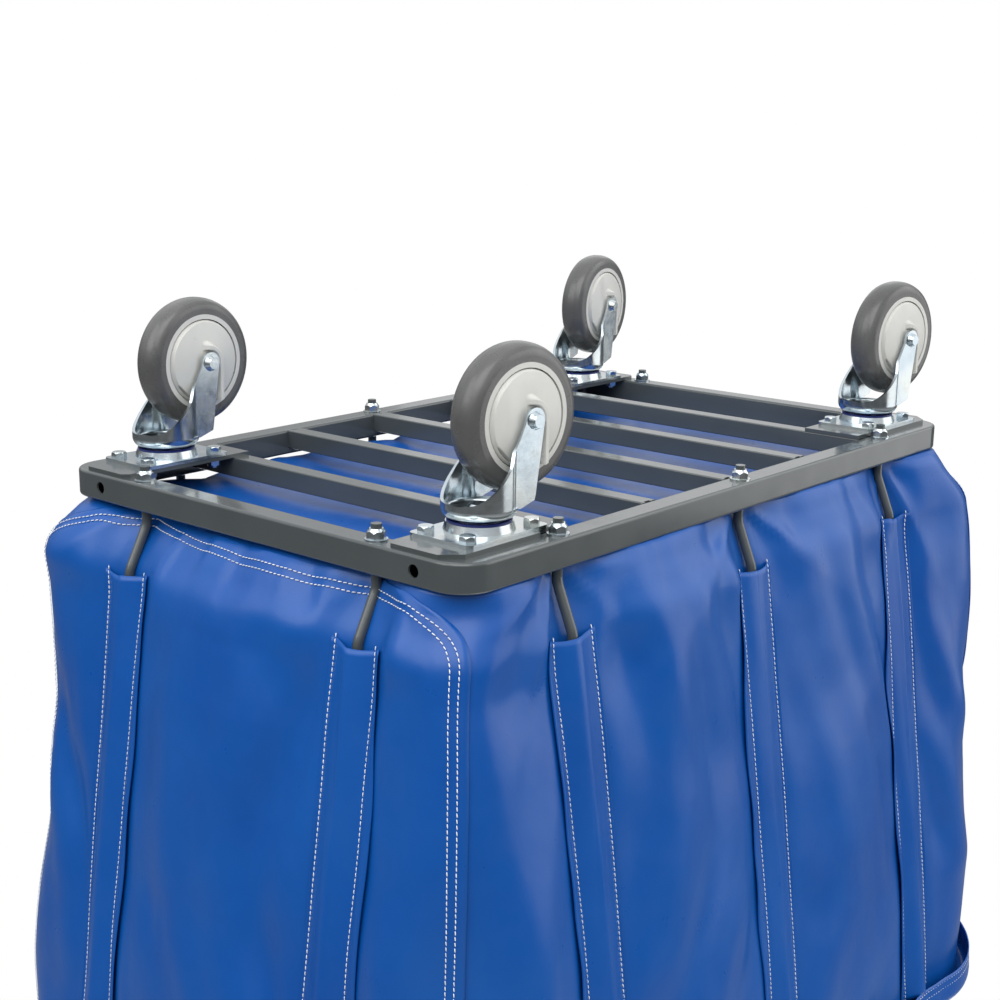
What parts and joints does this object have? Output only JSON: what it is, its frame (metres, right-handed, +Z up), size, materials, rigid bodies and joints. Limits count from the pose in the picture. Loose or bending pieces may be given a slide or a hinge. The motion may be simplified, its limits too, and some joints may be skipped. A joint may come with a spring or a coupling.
{
  "type": "laundry hamper truck",
  "caption": "Blue vinyl laundry hamper truck with a bent tube and slat base on swivel casters and a tapered bag held open by sleeved bows.",
  "frame": {"origin": "on the floor, under the middle of the truck", "axes": "+X along the truck's length, towards which the casters trail; +Y across it; +Z up"},
  "size_m": [1.0296, 0.7316, 0.838],
  "materials": {
    "powder_coat_grey": "glossy powder coat over tube and plate, light and dark streaked reflections",
    "slat_grey": "the same coat on the slats",
    "rod_grey": "powder coated round rod",
    "zinc_plate": "bright zinc plating, soft blue-white sheen",
    "zinc_fork": "bright zinc plating on pressed steel",
    "zinc_fastener": "bright zinc plating",
    "seal_blue": "dark blue seal ring",
    "core_plastic": "moulded light grey polypropylene",
    "guard_plastic": "moulded light grey polypropylene",
    "tyre_rubber": "smooth mid-grey rubber, soft gloss",
    "vinyl_blue": "vinyl-coated woven fabric, satin sheen, soft folds"
  },
  "bodies": {
    "root": {"base_ring": "powder_coat_grey", "slat_1": "slat_grey", "slat_2": "slat_grey", "slat_3": "slat_grey", "slat_4": "slat_grey", "slat_5": "slat_grey", "corner_plate_a": "powder_coat_grey", "corner_plate_b": "powder_coat_grey", "corner_plate_c": "powder_coat_grey", "corner_plate_d": "powder_coat_grey", "end_bow_left": "rod_grey", "end_bow_right": "rod_grey", "side_bow_front": "rod_grey", "side_post_front": "rod_grey", "side_bow_back": "rod_grey", "side_post_back": "rod_grey", "bow_nuts": "zinc_fastener", "bow_washers": "zinc_fastener", "bag_end_left": "vinyl_blue", "bag_end_right": "vinyl_blue", "bag_body": "vinyl_blue", "bag_hem": "vinyl_blue", "bag_sleeves_end": "vinyl_blue", "bag_sleeves_side": "vinyl_blue", "top_plate_a": "zinc_plate", "seal_a": "seal_blue", "kingpin_a": "zinc_fastener", "plate_bolts_a": "zinc_fastener", "top_plate_b": "zinc_plate", "seal_b": "seal_blue", "kingpin_b": "zinc_fastener", "plate_bolts_b": "zinc_fastener", "top_plate_c": "zinc_plate", "seal_c": "seal_blue", "kingpin_c": "zinc_fastener", "plate_bolts_c": "zinc_fastener", "top_plate_d": "zinc_plate", "seal_d": "seal_blue", "kingpin_d": "zinc_fastener", "plate_bolts_d": "zinc_fastener"},
    "swivel_a": {"fork_a": "zinc_fork", "axle_a": "zinc_fastener", "guards_a": "guard_plastic"},
    "wheel_a": {"core_a": "core_plastic", "tyre_a": "tyre_rubber"},
    "swivel_b": {"fork_b": "zinc_fork", "axle_b": "zinc_fastener", "guards_b": "guard_plastic"},
    "wheel_b": {"core_b": "core_plastic", "tyre_b": "tyre_rubber"},
    "swivel_c": {"fork_c": "zinc_fork", "axle_c": "zinc_fastener", "guards_c": "guard_plastic"},
    "wheel_c": {"core_c": "core_plastic", "tyre_c": "tyre_rubber"},
    "swivel_d": {"fork_d": "zinc_fork", "axle_d": "zinc_fastener", "guards_d": "guard_plastic"},
    "wheel_d": {"core_d": "core_plastic", "tyre_d": "tyre_rubber"}
  },
  "joints": [
    {"name": "swivel_turn_a", "type": "hinge", "parent": "root", "child": "swivel_a", "pos_m": [-0.332, 0.2095, 0.145], "axis": [0, 0, 1], "continuous": true},
    {"name": "wheel_spin_a", "type": "hinge", "parent": "swivel_a", "child": "wheel_a", "pos_m": [-0.2942, 0.21341, 0.0635], "axis": [-0.1028, 0.9947, 0], "continuous": true},
    {"name": "swivel_turn_b", "type": "hinge", "parent": "root", "child": "swivel_b", "pos_m": [-0.332, -0.2095, 0.145], "axis": [0, 0, 1], "continuous": true},
    {"name": "wheel_spin_b", "type": "hinge", "parent": "swivel_b", "child": "wheel_b", "pos_m": [-0.29401, -0.21036, 0.0635], "axis": [0.0227, 0.9997, 0], "continuous": true},
    {"name": "swivel_turn_c", "type": "hinge", "parent": "root", "child": "swivel_c", "pos_m": [0.332, -0.2095, 0.145], "axis": [0, 0, 1], "continuous": true},
    {"name": "wheel_spin_c", "type": "hinge", "parent": "swivel_c", "child": "wheel_c", "pos_m": [0.36972, -0.21413, 0.0635], "axis": [0.1219, 0.9925, 0], "continuous": true},
    {"name": "swivel_turn_d", "type": "hinge", "parent": "root", "child": "swivel_d", "pos_m": [0.332, 0.2095, 0.145], "axis": [0, 0, 1], "continuous": true},
    {"name": "wheel_spin_d", "type": "hinge", "parent": "swivel_d", "child": "wheel_d", "pos_m": [0.36971, 0.2142, 0.0635], "axis": [-0.1236, 0.9923, 0], "continuous": true}
  ]
}
